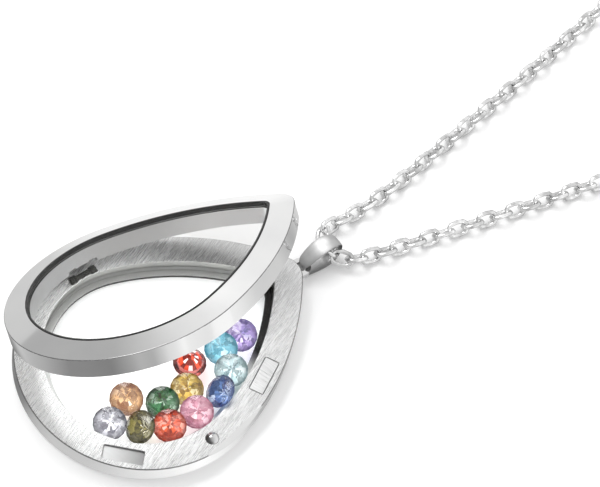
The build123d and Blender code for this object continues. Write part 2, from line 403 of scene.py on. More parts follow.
@dataclass(frozen=True)
class PaintShadedSteel(Finish):
    """Softly polished steel, with painted shade by its list across one direction and a painted highlight."""

    middle: Place = ORIGIN
    turn: float = BAIL_TURN
    # Painted shade: grey levels by place across one direction, from -reach to reach in millimetres.
    across: Steps = (
        (-1.35, 0.44), (-1.0, 0.48), (-0.55, 0.48), (-0.15, 0.43), (0.25, 0.40), (0.7, 0.42), (1.2, 0.52))
    reach: float = 1.6
    # Painted shade towards the low-Y end, over the span along Y.
    shaded_end_grey: float = 0.92
    along: Span = (24.0, 26.0)
    # Place, reach and grey of the painted highlight.
    shine: Place = (-0.6, 27.0, 3.9)
    highlight_reach: Span = (0.9, 0.0)
    highlight_grey: float = 0.66
    smoothest: float = 0.46
    roughest: float = 0.54
    grain_size: float = 0.8

    def surface(self, recipe: Recipe) -> Socket:
        """Mix the shader that covers the piece.

        Args:
            recipe: The material's recipe.

        Returns:
            The shader.
        """
        # Painted shade across one direction and towards the low-Y end, under a painted highlight.
        side = recipe.axis(recipe.turned(self.middle, (0.0, 0.0, self.turn)), "X")
        share = recipe.level(side, -self.reach * MM, self.reach * MM)
        band = recipe.greys([(x / self.reach, level) for x, level in self.across], share)
        near = recipe.mix(recipe.along("Y", *self.along), grey(self.shaded_end_grey), WHITE)
        painted_highlight = recipe.near(self.shine, *self.highlight_reach)
        return recipe.shader(
            "BsdfPrincipled", Metallic=1.0,
            Base_Color=recipe.mix(painted_highlight, recipe.multiply(band, near), grey(self.highlight_grey)),
            Roughness=recipe.spread(recipe.grain(self.grain_size), self.smoothest, self.roughest))


@dataclass(frozen=True)
class BrushedSteel(Finish):
    """Steel brushed with fine straight lines in one direction, and painted shade round one place under the
    lid.
    """

    dark: Colour = grey(0.60)
    light: Colour = grey(0.79)
    line_length: float = 1.5
    line_width: float = 0.085
    bearing: float = 113.0
    line_detail: float = 2.0
    smoothest: float = 0.22
    roughest: float = 0.34
    line_depth: float = 0.001
    relief: float = 0.5
    # Painted shade: middle, reach and grey of a darker patch under the open lid.
    shaded: Place = (-5.0, 18.5, 2.5)
    shaded_reach: Span = (14.0, 4.0)
    shaded_grey: float = 0.78

    def surface(self, recipe: Recipe) -> Socket:
        """Mix the shader that covers the piece.

        Args:
            recipe: The material's recipe.

        Returns:
            The shader.
        """
        lines = recipe.streaks(self.line_length, self.line_width, self.bearing, self.line_detail)
        # Painted shade round one place, laid over the lines' colour.
        shade = recipe.mix(recipe.near(self.shaded, *self.shaded_reach), WHITE, grey(self.shaded_grey))
        return recipe.shader(
            "BsdfPrincipled", Metallic=1.0,
            Base_Color=recipe.multiply(recipe.shade(lines, self.dark, self.light, LINE_SPAN), shade),
            Roughness=recipe.spread(lines, self.smoothest, self.roughest),
            Normal=recipe.relief(lines, self.line_depth, self.relief))


@dataclass(frozen=True)
class OutlinedInlay(Finish):
    """Brushed bar magnet with a dark joint line round its edge, and painted shade towards its far end."""

    middle: Place
    bearing: float
    length: float = 4.8
    width: float = 1.85
    line: float = 0.1
    line_colour: Colour = grey(0.12)
    dark: Colour = grey(0.60)
    light: Colour = grey(0.78)
    roughness: Span = (0.26, 0.4)
    streak: Span = (2.0, 0.1)
    streak_bearing: float = 20.0
    streak_detail: float = 2.0
    # Grey of the painted shade at the far end; 1.0 paints none.
    far_shade_grey: float = 1.0
    metallic: float = 1.0

    def surface(self, recipe: Recipe) -> Socket:
        """Mix the shader that covers the piece.

        Args:
            recipe: The material's recipe.

        Returns:
            The shader.
        """
        lines = recipe.streaks(*self.streak, self.streak_bearing, self.streak_detail)
        half = metres(self.width / 2, self.length / 2, 1.0)
        place = recipe.turned(self.middle, (0.0, 0.0, self.bearing), half)
        # Painted shade that runs from the near end to the far end.
        painted_fade = recipe.level(recipe.axis(place, "Y"), -1.0, 1.0, 1.0, self.far_shade_grey)
        plain = recipe.multiply(recipe.shade(lines, self.dark, self.light, LINE_SPAN), painted_fade)
        size = recipe.add("VectorMath", place, operation="ABSOLUTE").outputs["Vector"]
        edges = [
            recipe.compute("GREATER_THAN", recipe.axis(size, axis), 1.0 - 2 * self.line / whole)
            for axis, whole in (("X", self.width), ("Y", self.length))]
        return recipe.shader(
            "BsdfPrincipled", Metallic=self.metallic,
            Base_Color=recipe.mix(recipe.compute("MAXIMUM", *edges), plain, self.line_colour),
            Roughness=recipe.spread(lines, *self.roughness))


@dataclass(frozen=True)
class DarkCoat(Finish):
    """Dark rough surface with a little variation, such as oxidised steel or cement."""

    dark: Colour
    light: Colour
    metallic: float = 0.0
    smoothest: float = 0.35
    roughest: float = 0.6
    grain_size: float = 0.3
    grain_detail: float = 4.0
    depth: float = 0.02
    relief: float = 0.4

    def surface(self, recipe: Recipe) -> Socket:
        """Mix the shader that covers the piece.

        Args:
            recipe: The material's recipe.

        Returns:
            The shader.
        """
        cloud = recipe.grain(self.grain_size, self.grain_detail)
        return recipe.shader(
            "BsdfPrincipled", Metallic=self.metallic,
            Base_Color=recipe.shade(cloud, self.dark, self.light),
            Roughness=recipe.spread(cloud, self.smoothest, self.roughest),
            Normal=recipe.relief(cloud, self.depth, self.relief))


@dataclass(frozen=True)
class ClearGlass(Finish):
    """Clear glass that lets the lamps through to what lies behind it."""

    tint: Colour
    shadow_tint: Colour
    index: float = 1.08
    shine: float = 0.5
    cloud_size: float = 2.0
    roughest: float = 0.01

    def surface(self, recipe: Recipe) -> Socket:
        """Mix the shader that covers the piece.

        Args:
            recipe: The material's recipe.

        Returns:
            The shader.
        """
        glass = recipe.shader(
            "BsdfPrincipled", Metallic=0.0, IOR=self.index, Transmission_Weight=1.0,
            Specular_IOR_Level=self.shine, Base_Color=self.tint,
            Roughness=recipe.spread(recipe.grain(self.cloud_size), 0.0, self.roughest))
        return self.let_lamps_through(recipe, glass)

    def let_lamps_through(self, recipe: Recipe, glass: Socket) -> Socket:
        """The glass, but only a tint for rays that look for a lamp."""
        through = recipe.shader("BsdfTransparent", Color=self.shadow_tint)
        return recipe.shader("MixShader", recipe.ray("Is Shadow Ray"), glass, through)


@dataclass(frozen=True)
class GemGlass(ClearGlass):
    """Brilliant's glass: a tinted crown, painted shade towards the girdle, and painted facet shade, glints
    and glow.
    """

    middle: Place = ORIGIN
    lean: float = 41.0
    facing: float = -50.0
    # Colour of the painted shade towards the girdle and on the deep facets.
    painted_shade: Colour = grey(0.1)
    # Colour of the painted glints.
    painted_glint: Colour = WHITE
    wedges: int = 16
    rings: tuple[float, ...] = (0.45, 0.95, 1.5)
    # Painted shade grows between these distances from the stone's axis, towards the girdle, in millimetres.
    rim_shade_start: float = 1.05
    rim_shade_end: float = 1.95
    girdle: float = 0.05
    crown_share: float = 0.75
    # Chances below which a facet is painted deep, above which pale, and above which a white glint.
    deep_until: float = 0.4
    pale_from: float = 0.65
    glint_chance_from: float = 0.84
    glint_softness: float = 0.02
    shine: float = 0.3
    clearness: float = 0.6
    # Strength of the painted glow of the pavilion's facets.
    painted_glow: float = 0.5

    def facets(self, recipe: Recipe, place: Socket, reach: Socket) -> Socket:
        """Painted shade and glints of the pavilion's facets: deep, pale or white, each by a chance of its
        own.

        Args:
            recipe: The material's recipe.
            place: Place in the stone, its own axis along Z.
            reach: Distance from that axis.

        Returns:
            The colour.
        """
        angle = recipe.compute("ARCTAN2", recipe.axis(place, "Y"), recipe.axis(place, "X"))
        ring = 0.0
        for edge in self.rings:
            ring = recipe.compute("ADD", ring, recipe.compute("GREATER_THAN", reach, edge * MM))
        half = recipe.compute("MULTIPLY", ring, 0.5)
        wedge = recipe.compute(
            "FLOOR", recipe.compute("MULTIPLY_ADD", angle, self.wedges / (2 * math.pi), half))
        cell = recipe.add("CombineXYZ", wedge, ring, self.middle[0])
        chance = recipe.add("TexWhiteNoise", cell.outputs["Vector"]).outputs["Value"]
        pale = recipe.level(chance, self.deep_until, self.pale_from)
        white = recipe.level(chance, self.glint_chance_from, self.glint_chance_from + self.glint_softness)
        return recipe.mix(white, recipe.mix(pale, self.painted_shade, self.tint), self.painted_glint)

    def surface(self, recipe: Recipe) -> Socket:
        """Mix the shader that covers the piece.

        Args:
            recipe: The material's recipe.

        Returns:
            The shader.
        """
        place = recipe.turned(self.middle, (0.0, self.lean, self.facing))
        flat = recipe.add("VectorMath", place, (1.0, 1.0, 0.0), operation="MULTIPLY").outputs["Vector"]
        reach = recipe.add("VectorMath", flat, operation="LENGTH").outputs["Value"]
        # Painted shade towards the girdle, over the crown and the pavilion.
        unshaded = recipe.level(reach, self.rim_shade_end * MM, self.rim_shade_start * MM)
        pavilion = recipe.mix(unshaded, self.painted_shade, self.facets(recipe, place, reach))
        washed = tuple(self.crown_share * value + 1.0 - self.crown_share for value in self.tint)
        crown = recipe.mix(unshaded, self.painted_shade, washed)
        above = recipe.level(recipe.axis(place, "Z"), -self.girdle * MM, self.girdle * MM)
        # Painted glow: the pavilion's painted facets also give light.
        glass = recipe.shader(
            "BsdfPrincipled", Metallic=0.0, IOR=self.index, Roughness=0.0, Specular_IOR_Level=self.shine,
            Base_Color=recipe.mix(above, pavilion, crown),
            Transmission_Weight=recipe.level(above, 0.0, 1.0, self.clearness, 1.0),
            Emission_Color=recipe.mix(above, pavilion, BLACK), Emission_Strength=self.painted_glow)
        return self.let_lamps_through(recipe, glass)


@dataclass(frozen=True)
class SeatSteel(Finish):
    """Satin steel of the glass seat, near black towards the case's tip on one side."""

    steel: Colour = (0.60, 0.60, 0.59)
    # Near-black colour of the patch towards the tip.
    cement: Colour = (0.012, 0.011, 0.01)
    across: Span = (-2.5, -0.5)
    along: Span = (9.0, 12.5)
    metallic: float = 0.6
    roughness: float = 0.35

    def surface(self, recipe: Recipe) -> Socket:
        """Mix the shader that covers the piece.

        Args:
            recipe: The material's recipe.

        Returns:
            The shader.
        """
        near_black_patch = recipe.compute(
            "MULTIPLY", recipe.along("X", *self.across), recipe.along("Y", *self.along))
        return recipe.shader("BsdfPrincipled", Metallic=self.metallic, Roughness=self.roughness,
                             Base_Color=recipe.mix(near_black_patch, self.steel, self.cement))


@dataclass(frozen=True)
class PaleTable(Finish):
    """Matt white surface with a painted glow under the window, and painted reflections in the steel by its
    lists.

    The lists give a brightness to each bearing in degrees from +X: one for the table further off, and
    one for the table near the locket.
    """

    dark: Colour = grey(0.95)
    light: Colour = grey(0.98)
    scattered: Colour = grey(0.84)
    grain_size: float = 40.0
    roughness: float = 0.6
    gloss: float = 0.15
    brightest: float = 1.5
    # Brightness of the painted reflection by bearing, further off and near the locket.
    mirrored: Steps = (
        (-180.0, 0.80), (-150.0, 0.80), (-120.0, 0.76), (-95.0, 0.54), (-79.0, 0.34), (-70.0, 0.34),
        (-50.0, 0.30), (-35.0, 0.5), (0.0, 1.2), (45.0, 1.3), (60.0, 0.88), (76.0, 0.8), (88.0, 0.55),
        (105.0, 0.9), (125.0, 1.2), (160.0, 1.1), (180.0, 0.80))
    mirrored_near: Steps = (
        (-180.0, 0.60), (-135.0, 0.34), (-112.0, 0.24), (-103.0, 0.31), (-92.0, 0.60), (-80.0, 0.74),
        (-60.0, 0.76), (-30.0, 1.08), (-5.0, 1.35), (15.0, 0.95), (34.0, 0.5), (60.0, 0.5), (80.0, 0.55),
        (100.0, 0.7), (140.0, 0.7), (180.0, 0.60))
    near_reach: Span = (21.0, 17.0)
    # Painted glow: emission of the table round a place under the window.
    light_middle: Place = (-2.5, 1.5, 0.0)
    light_reach: Span = (17.0, 12.0)
    light_power: float = 0.4

    def surface(self, recipe: Recipe) -> Socket:
        """Mix the shader that covers the piece.

        Args:
            recipe: The material's recipe.

        Returns:
            The shader.
        """
        seen = recipe.shade(recipe.grain(self.grain_size), self.dark, self.light)
        # Painted glow under the window, given off by the table.
        glow = recipe.near(self.light_middle, *self.light_reach)
        paint = recipe.shader(
            "BsdfPrincipled", Roughness=self.roughness, Specular_IOR_Level=self.gloss,
            Base_Color=recipe.mix(recipe.ray("Is Camera Ray"), self.scattered, seen),
            Emission_Color=WHITE, Emission_Strength=recipe.compute("MULTIPLY", glow, self.light_power))
        # Painted reflection: rays that the steel reflects see a set brightness, not the lit table.
        mirror = recipe.shader("Emission", self.mirrored_grey(recipe), self.brightest)
        reflected = recipe.compute(
            "SUBTRACT", recipe.ray("Is Glossy Ray"), recipe.ray("Is Transmission Ray"), use_clamp=True)
        return recipe.shader("MixShader", reflected, paint, mirror)

    def mirrored_grey(self, recipe: Recipe) -> Socket:
        """Painted reflection as a share of the brightest, by bearing, near the locket and further off.

        Args:
            recipe: The material's recipe.

        Returns:
            The grey.
        """
        place = recipe.place()
        bearing = recipe.compute("ARCTAN2", recipe.axis(place, "Y"), recipe.axis(place, "X"))
        share = recipe.level(bearing, -math.pi, math.pi)
        away, beside = (
            recipe.greys([(degrees / 180.0, bright / self.brightest) for degrees, bright in steps], share)
            for steps in (self.mirrored, self.mirrored_near))
        return recipe.mix(recipe.near(ORIGIN, *self.near_reach), away, beside)


@dataclass(frozen=True)
class View:
    """Camera at the photograph's angle to the locket."""

    azimuth: float = 40.45
    elevation: float = 58.60
    distance: float = 380.0
    roll: float = 15.46
    target: Place = (-3.268, 25.816, 0.0)
    lens: float = 189.04
    sensor: float = 36.0
    closest: float = 10.0

    def place(self) -> None:
        """Add the camera and make it the scene's own."""
        turn = math.radians(self.azimuth)
        roll = math.radians(self.roll)
        back = direction(self.azimuth, self.elevation)
        right = Vector((math.cos(turn), math.sin(turn), 0.0))
        up = back.cross(right)
        rolled = right * math.cos(roll) + up * math.sin(roll)
        upward = up * math.cos(roll) - right * math.sin(roll)
        data = bpy.data.cameras.new("camera")
        data.lens = self.lens
        data.sensor_width = self.sensor
        data.clip_start = self.closest * MM
        stand = Matrix((rolled, upward, back)).transposed().to_4x4()
        stand.translation = metres(*self.target) + back * self.distance * MM
        camera = bpy.data.objects.new("camera", data)
        camera.matrix_world = stand
        bpy.context.scene.collection.objects.link(camera)
        bpy.context.scene.camera = camera
        log.info("camera at %s", tuple(round(value, 3) for value in stand.translation))


@dataclass(frozen=True)
class SoftBox:
    """One large soft lamp, aimed at the locket, its sizes in metres."""

    name: str
    azimuth: float
    elevation: float
    distance: float
    width: float
    height: float
    power: float

    def place(self, target: Vector) -> None:
        """Add the lamp.

        Args:
            target: The point in metres that it faces.
        """
        away = direction(self.azimuth, self.elevation)
        data = bpy.data.lights.new(self.name, "AREA")
        data.shape = "RECTANGLE"
        data.size = self.width
        data.size_y = self.height
        data.energy = self.power
        lamp = bpy.data.objects.new(self.name, data)
        lamp.location = target + away * self.distance
        lamp.rotation_euler = away.to_track_quat("Z", "Y").to_euler()
        bpy.context.scene.collection.objects.link(lamp)


@dataclass(frozen=True)
class Studio:
    """Pale table in soft light: even overhead, and as grey as its list along one direction lower down."""

    table_size: float = 6.0
    target: Place = (0.0, 10.0, 0.0)
    lamp: SoftBox = SoftBox("key_lamp", -82.0, 56.0, 1.3, 0.7, 0.7, 8.0)
    side: Place = (0.23, 1.0, 0.0)
    horizon: Steps = (
        (-1.0, 0.62), (-0.45, 0.6), (-0.24, 0.58), (-0.12, 0.56), (0.0, 0.78), (0.09, 0.98), (0.2, 1.06),
        (0.31, 1.26), (0.38, 1.14), (0.5, 1.1), (1.0, 1.0))
    overhead: float = 0.97
    overhead_rise: Span = (0.46, 0.68)

    def place(self) -> None:
        """Add the table, the lamp and the world."""
        bpy.ops.mesh.primitive_plane_add(size=self.table_size, location=ORIGIN)
        table = bpy.context.object
        table.name = "table"
        table.data.materials.append(PaleTable("pale_table").make())
        table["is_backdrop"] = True
        self.lamp.place(metres(*self.target))
        self.light_world()
        scene = bpy.context.scene
        scene.view_settings.view_transform = "Standard"
        scene.view_settings.look = "None"
        log.info("table, lamp and world")

    def light_world(self) -> None:
        """Fill the world with light by direction."""
        world = bpy.data.worlds.new("studio_world")
        bpy.context.scene.world = world
        world.use_nodes = True
        recipe = Recipe(world.node_tree)
        outward = recipe.add("TexCoord").outputs["Generated"]
        turn = recipe.add("VectorMath", outward, self.side, operation="DOT_PRODUCT").outputs["Value"]
        low = recipe.greys(self.horizon, recipe.level(turn, -1.0, 1.0))
        rise = recipe.level(recipe.axis(outward, "Z"), *self.overhead_rise, easing="SMOOTHSTEP")
        sky = recipe.mix(rise, low, grey(self.overhead))
        recipe.add("OutputWorld", recipe.shader("Background", sky))


def paint_faces(node: bpy.types.Object, choices: Sequence[tuple[bpy.types.Material, FaceTest]]) -> None:
    """Give each face of a node the first material whose test it passes.

    Args:
        node: The object, its mesh in metres.
        choices: Materials with tests that take a face's middle and normal, the last one for the rest.
    """
    node.data.materials.clear()
    for material, _ in choices:
        node.data.materials.append(material)
    for face in node.data.polygons:
        middle = face.center / MM
        for index, (_, test) in enumerate(choices):
            if test(middle, face.normal):
                face.material_index = index
                break


def everywhere(middle: Vector, normal: Vector) -> bool:
    """Test that every face passes."""
    return True


def dress(frame: dict, name: str, material: bpy.types.Material) -> None:
    """Give one finish to a whole node."""
    paint_faces(frame["nodes"][name], [(material, everywhere)])


def middle_of(node: bpy.types.Object) -> Vector:
    """Find the middle of a node's box.

    Args:
        node: The object.

    Returns:
        The middle in millimetres.
    """
    corners = [Vector(corner) / MM for corner in node.bound_box]
    low = Vector(min(corner[axis] for corner in corners) for axis in range(3))
    high = Vector(max(corner[axis] for corner in corners) for axis in range(3))
    return (low + high) / 2


def deselect() -> None:
    """Leave nothing selected."""
    bpy.ops.object.select_all(action="DESELECT")


def close_and_face_out(piece: bpy.types.Object, gap: float = 0.002) -> None:
    """Merge doubled points and turn every face outwards.

    Args:
        piece: The active object.
        gap: Largest distance of doubled points in millimetres.
    """
    bpy.context.view_layer.objects.active = piece
    bpy.ops.object.mode_set(mode="EDIT")
    bpy.ops.mesh.select_all(action="SELECT")
    bpy.ops.mesh.remove_doubles(threshold=gap * MM)
    bpy.ops.mesh.normals_make_consistent(inside=False)
    bpy.ops.object.mode_set(mode="OBJECT")


def apply_modifier(piece: bpy.types.Object, kind: str, **settings: object) -> None:
    """Add a modifier and apply it.

    Args:
        piece: The object.
        kind: The modifier's type.
        settings: Its properties.
    """
    bpy.context.view_layer.objects.active = piece
    modifier = piece.modifiers.new(kind.lower(), kind)
    for name, value in settings.items():
        setattr(modifier, name, value)
    bpy.ops.object.modifier_apply(modifier=modifier.name)


def smooth(piece: bpy.types.Object, angle: float) -> None:
    """Shade a piece smooth, apart from its sharp edges.

    Args:
        piece: The object.
        angle: Degrees from which an edge counts as sharp.
    """
    deselect()
    piece.select_set(True)
    bpy.context.view_layer.objects.active = piece
    bpy.ops.object.shade_smooth_by_angle(angle=math.radians(angle))


def made(finish: Finish) -> Field:
    """Field that holds a finish's material, built with the class that has the field."""
    return field(default_factory=finish.make)


@dataclass
class Finishes:
    """The finishes that several pieces share."""

    polished: bpy.types.Material = made(PolishedSteel("polished_steel_finish"))
    satin: bpy.types.Material = made(PolishedSteel(
        "satin_steel_finish", grey(0.30), (0.42, 0.42, 0.41), smoothest=0.14, roughest=0.22))
    lining: bpy.types.Material = made(PolishedSteel(
        "lining_steel_finish", (0.50, 0.50, 0.49), (0.58, 0.58, 0.56), smoothest=0.36, roughest=0.46))
    links: bpy.types.Material = made(PolishedSteel(
        "chain_steel_finish", grey(0.48), grey(0.98), smoothest=0.03, roughest=0.08, grain_size=1.3))
    # Painted shade on the lid's inner wall, darker towards the round end and lighter towards the tip.
    lid_lining_painted_shade: bpy.types.Material = made(PaintShadedSteel(
        "lid_lining_painted_shade_finish", turn=90.0, reach=20.0, shaded_end_grey=1.0, highlight_reach=(0.1, 0.0),
        across=((-16.0, 0.52), (2.0, 0.52), (9.0, 0.62), (14.0, 0.84), (20.0, 0.90))))
    # Painted shade across the bail's band and towards the eye, with a painted highlight on its top.
    bail: bpy.types.Material = made(PaintShadedSteel("bail_steel_painted_shading_finish"))
    # Painted shade inside the bail's loop: darker steel on the faces that look into it.
    bail_inside_painted_shade: bpy.types.Material = made(PolishedSteel(
        "bail_inside_painted_shade_finish", grey(0.34), grey(0.46), smoothest=0.3, roughest=0.4))
    # Painted shade line: dark steel on the case's outer chamfer and on the lid's edge between wall and
    # bevel.
    edge: bpy.types.Material = made(PolishedSteel(
        "painted_shade_edge_finish", grey(0.22), grey(0.28), smoothest=0.2, roughest=0.3))
    brushed: bpy.types.Material = made(BrushedSteel("brushed_steel_finish"))
    dark: bpy.types.Material = made(DarkCoat(
        "dark_steel_finish", (0.018, 0.018, 0.016), (0.07, 0.07, 0.06), metallic=0.5))
    cement: bpy.types.Material = made(DarkCoat(
        "glass_cement_finish", grey(0.008), (0.022, 0.021, 0.02), grain_size=0.6))
    seat: bpy.types.Material = made(SeatSteel("glass_seat_finish"))
    base_glass: bpy.types.Material = made(ClearGlass(
        "base_window_finish", (0.985, 0.99, 0.99), (0.96, 0.97, 0.97)))
    lid_glass: bpy.types.Material = made(ClearGlass(
        "lid_window_finish", (0.93, 0.93, 0.925), (0.95, 0.96, 0.96)))


@dataclass(frozen=True)
class Case:
    """Lower ring with its window, hinge pin, magnets and catch ball.

    The tests take a face's middle in millimetres and its normal, as the lid's do.
    """

    flange_height: float = 2.5
    lip_height: float = 0.4
    window_middle: Place = (0.0, 4.0, 0.2)
    tolerance: float = 0.02
    brushed_slope: float = 0.98
    edge_slopes: Span = (0.3, 0.95)
    edge_start: float = 2.4
    pocket: Span = (9.56, -9.29)
    pocket_reach: float = 2.75
    pocket_floor: float = 1.2
    # Painted shade across the catch ball, dark on one side, and a painted highlight near its top.
    ball_turn: float = 80.0
    ball_shade_greys: Steps = ((-0.8, 0.10), (-0.45, 0.14), (-0.2, 0.42), (0.1, 0.62), (0.5, 0.75), (0.8, 0.4))
    ball_highlight: Place = (-0.05, 0.25, 0.8)
    ball_highlight_reach: Span = (0.4, 0.15)

    def on_flange(self, middle: Vector, normal: Vector) -> bool:
        """Whether a face belongs to the flange's flat top."""
        return abs(middle.z - self.flange_height) < self.tolerance and normal.z > self.brushed_slope

    def on_underside(self, middle: Vector, normal: Vector) -> bool:
        """Whether a face belongs to the flat underside."""
        return normal.z < -self.brushed_slope and middle.z < self.lip_height

    def on_pane(self, middle: Vector, normal: Vector) -> bool:
        """Whether a face belongs to one of the window's two flat sides."""
        return abs(normal.z) > self.brushed_slope

    def on_seat(self, middle: Vector, normal: Vector) -> bool:
        """Whether a face belongs to the seat under the glass."""
        return abs(middle.z - self.lip_height) < self.tolerance and normal.z > self.brushed_slope

    def faces_window(self, middle: Vector, normal: Vector) -> bool:
        """Whether an upright face looks at the window's middle."""
        inward = (middle - Vector(self.window_middle)).dot(normal) < 0.0
        return inward and abs(normal.z) < self.edge_slopes[0]

    def on_lip(self, middle: Vector, normal: Vector) -> bool:
        """Whether a face belongs to the lip's inner wall, round the window."""
        return self.faces_window(middle, normal) and middle.z < self.lip_height

    def on_wall(self, middle: Vector, normal: Vector) -> bool:
        """Whether a face belongs to the well's upright wall."""
        return self.faces_window(middle, normal) and middle.z > self.lip_height

    def in_pocket(self, middle: Vector, normal: Vector) -> bool:
        """Test for the upright walls of the sunk magnet's pocket.

        Args:
            middle: The face's middle in millimetres.
            normal: The face's normal.

        Returns:
            Whether the face belongs to them.
        """
        away = middle.xy - Vector(self.pocket)
        facing = away.length < self.pocket_reach and away.dot(normal.xy) < 0.0
        return facing and abs(normal.z) < self.edge_slopes[0] and middle.z > self.pocket_floor

    def on_edge(self, middle: Vector, normal: Vector) -> bool:
        """Whether a face belongs to the flange's outer chamfer."""
        return middle.z > self.edge_start and self.edge_slopes[0] < normal.z < self.edge_slopes[1]

    def dress(self, frame: dict, finishes: Finishes) -> None:
        """Give the case's nodes their finishes.

        Args:
            frame: The loaded frame.
            finishes: The shared finishes.
        """
        paint_faces(frame["nodes"]["base_frame"], [
            (finishes.brushed, self.on_flange),
            (finishes.brushed, self.on_underside),
            (finishes.seat, self.on_seat),
            (finishes.cement, self.on_lip),
            # Painted dark line on the flange's outer chamfer.
            (finishes.edge, self.on_edge),
            (finishes.brushed, self.in_pocket),
            (finishes.lining, self.on_wall),
            (finishes.polished, everywhere),
        ])
        paint_faces(frame["nodes"]["base_glass"], [
            (finishes.base_glass, self.on_pane),
            (finishes.seat, everywhere),
        ])
        dress(frame, "hinge_pin", finishes.satin)
        # The catch ball gets painted shade and a painted highlight.
        ball = middle_of(frame["nodes"]["catch_ball"])
        shine = tuple(ball + Vector(self.ball_highlight))
        dress(frame, "catch_ball", PaintShadedSteel(
            "ball_painted_shading_finish", tuple(ball), self.ball_turn, self.ball_shade_greys, shaded_end_grey=1.0, shine=shine,
            highlight_reach=self.ball_highlight_reach, smoothest=0.08, roughest=0.14).make())
        # The sunk magnet gets painted shade towards its far end.
        lower = middle_of(frame["nodes"]["magnet_lower"])
        dress(frame, "magnet_lower", OutlinedInlay(
            "lower_magnet_painted_shade_finish", tuple(lower), math.degrees(math.atan2(lower.y, lower.x)), line=0.06,
            line_colour=grey(0.22), dark=grey(0.72), light=grey(0.75), roughness=(0.42, 0.45),
            far_shade_grey=0.36, metallic=0.3).make())
        upper = middle_of(frame["nodes"]["magnet_upper"])
        bearing = math.degrees(math.atan2(upper.y - SIDE_CENTRE[1], upper.x - SIDE_CENTRE[0]))
        dress(frame, "magnet_upper", OutlinedInlay("upper_magnet_finish", tuple(upper), bearing).make())
        log.info("case dressed")


@dataclass(frozen=True)
class Lid:
    """Upper ring with its bevel and window, standing open on its hinge."""

    opening: float = 35.7
    flat_slope: float = 0.9
    edge_slopes: Span = (0.06, 0.94)
    hinge: Place = (-14.3, 0.0, 2.55)
    window_edge: float = 3.0
    half_width: float = 14.3
    wall_slope: float = 0.3

    def lid_axis(self) -> Vector:
        """Direction square to the lid's window."""
        turn = math.radians(self.opening)
        return Vector((-math.sin(turn), 0.0, math.cos(turn)))

    def on_window(self, middle: Vector, normal: Vector) -> bool:
        """Whether a face belongs to one of the glass's two flat sides."""
        return abs(normal.dot(self.lid_axis())) > self.flat_slope

    def under_lid(self, middle: Vector, normal: Vector) -> bool:
        """Whether a face belongs to the lid's flat underside."""
        return normal.dot(self.lid_axis()) < -self.flat_slope

    def height(self, middle: Vector) -> float:
        """Height of a place over the hinge axis, square to the lid."""
        return (middle - Vector(self.hinge)).dot(self.lid_axis())

    def on_rim(self, middle: Vector, normal: Vector) -> bool:
        """Whether a face belongs to the rounded edge round the window."""
        slope = normal.dot(self.lid_axis())
        return self.height(middle) > self.window_edge and slope < self.edge_slopes[1]

    def inside(self, middle: Vector, normal: Vector) -> bool:
        """Test for the ring's inner wall.

        Args:
            middle: The face's middle in millimetres.
            normal: The face's normal.

        Returns:
            Whether the face belongs to it.
        """
        axis = self.lid_axis()
        out = middle - Vector(self.hinge) - self.half_width * Vector((axis.z, 0.0, -axis.x))
        return out.dot(normal) < 0.0 and abs(normal.dot(axis)) < self.wall_slope

    def on_edge(self, middle: Vector, normal: Vector) -> bool:
        """Whether a face belongs to the rounded edge between wall and bevel."""
        slope = normal.dot(self.lid_axis())
        return self.edge_slopes[0] < slope < self.edge_slopes[1]

    def dress(self, frame: dict, finishes: Finishes) -> None:
        """Give the lid's nodes their finishes.

        Args:
            frame: The loaded frame.
            finishes: The shared finishes.
        """
        paint_faces(frame["nodes"]["lid_frame"], [
            (finishes.brushed, self.under_lid),
            (finishes.cement, self.on_rim),
            # Painted dark line on the edge between wall and bevel.
            (finishes.edge, self.on_edge),
            (finishes.lid_lining_painted_shade, self.inside),
            (finishes.polished, everywhere),
        ])
        paint_faces(frame["nodes"]["lid_glass"], [
            (finishes.lid_glass, self.on_window),
            (finishes.cement, everywhere),
        ])
        log.info("lid dressed")


